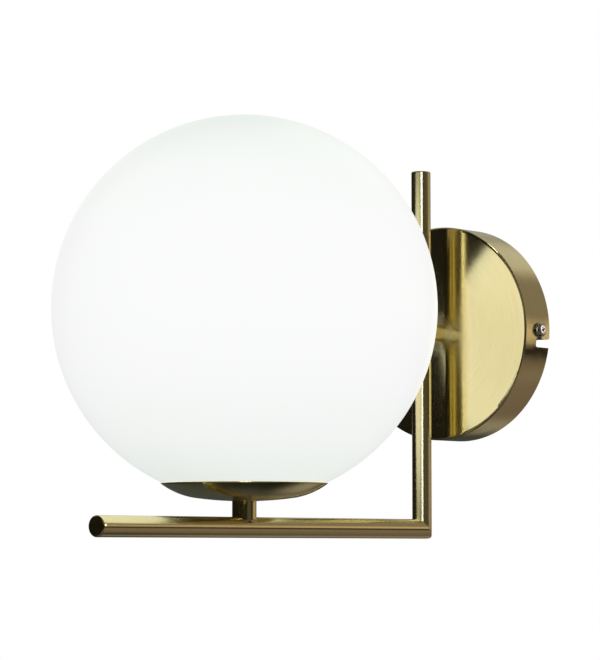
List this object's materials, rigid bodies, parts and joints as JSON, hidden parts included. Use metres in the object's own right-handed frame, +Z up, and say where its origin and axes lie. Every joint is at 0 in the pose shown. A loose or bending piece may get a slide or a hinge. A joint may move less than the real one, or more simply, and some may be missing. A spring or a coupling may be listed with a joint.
{
  "type": "globe wall light",
  "caption": "Wall light with a round canopy, an L-shaped arm of round brass tube and an opal glass globe standing in a shallow brass saucer.",
  "frame": {"origin": "centre of the canopy on the wall, midway between the fixing slots", "axes": "+Y into the wall, +Z up, +X to the right as seen from the room"},
  "size_m": [0.2, 0.2988, 0.2189],
  "materials": {
    "zinc_steel": "zinc plated",
    "screw_steel": "nickel plated",
    "canopy": "brushed and lacquered brass",
    "canopy_spigot": "brushed and lacquered brass",
    "brass_plain": "turned, unlacquered",
    "tinned_copper": "tinned",
    "lead_green": "insulation",
    "white_plastic": "moulded polycarbonate",
    "upright_tube": "brushed and lacquered brass",
    "upright_top_cap": "brushed and lacquered brass",
    "arm_tube": "brushed and lacquered brass",
    "arm_end_cap": "brushed and lacquered brass",
    "stem_tube": "brushed and lacquered brass",
    "saucer": "brushed and lacquered brass",
    "spring_steel": "spring steel",
    "silicone": "translucent silicone",
    "holder_plastic": "moulded phenolic",
    "cap_nickel": "nickel plated brass",
    "bronze_contact": "phosphor bronze",
    "lead_brown": "insulation",
    "lead_blue": "insulation",
    "opal_glass": "blown opal glass, polished",
    "bulb_frosted": "frosted polycarbonate",
    "cap_black": "moulded"
  },
  "bodies": {
    "wall_bracket": {"wall_bracket": "zinc_steel", "canopy_side_screws": "screw_steel", "earth_screw": "screw_steel", "earth_washer": "screw_steel"},
    "lamp_arm": {"canopy": "canopy", "canopy_spigot": "canopy_spigot", "canopy_washer": "zinc_steel", "canopy_lock_nut": "brass_plain", "earth_tag": "tinned_copper", "earth_lead": "lead_green", "terminal_block": "white_plastic", "terminal_inserts": "brass_plain", "upright_tube": "upright_tube", "upright_top_cap": "upright_top_cap", "arm_tube": "arm_tube", "arm_end_cap": "arm_end_cap", "stem_tube": "stem_tube", "saucer": "saucer", "stem_nipple": "brass_plain", "stem_washer": "zinc_steel", "stem_lock_nut": "brass_plain", "clip_carrier": "zinc_steel", "globe_clips": "spring_steel", "globe_gasket": "silicone", "lampholder_cap": "holder_plastic", "lampholder_body": "holder_plastic", "lampholder_insert": "holder_plastic", "lampholder_thread_shell": "cap_nickel", "lampholder_centre_contact": "bronze_contact", "live_lead": "lead_brown", "neutral_lead": "lead_blue"},
    "globe": {"glass_globe": "opal_glass"},
    "bulb": {"bulb_diffuser": "bulb_frosted", "bulb_housing": "white_plastic", "bulb_screw_cap": "cap_nickel", "bulb_cap_insulator": "cap_black", "bulb_tip_contact": "cap_nickel"}
  },
  "joints": [
    {"name": "canopy_twist", "type": "hinge", "parent": "wall_bracket", "child": "lamp_arm", "pos_m": [0, 0, 0], "axis": [0, -1, 0], "range_deg": [0, 7]},
    {"name": "globe_lift", "type": "slide", "parent": "lamp_arm", "child": "globe", "axis": [0, 0, 1], "range_m": [0, 0.2], "deforming": ["globe_clips"]},
    {"name": "bulb_lift", "type": "slide", "parent": "lamp_arm", "child": "bulb", "axis": [0, 0, 1], "range_m": [0, 0.04]}
  ]
}
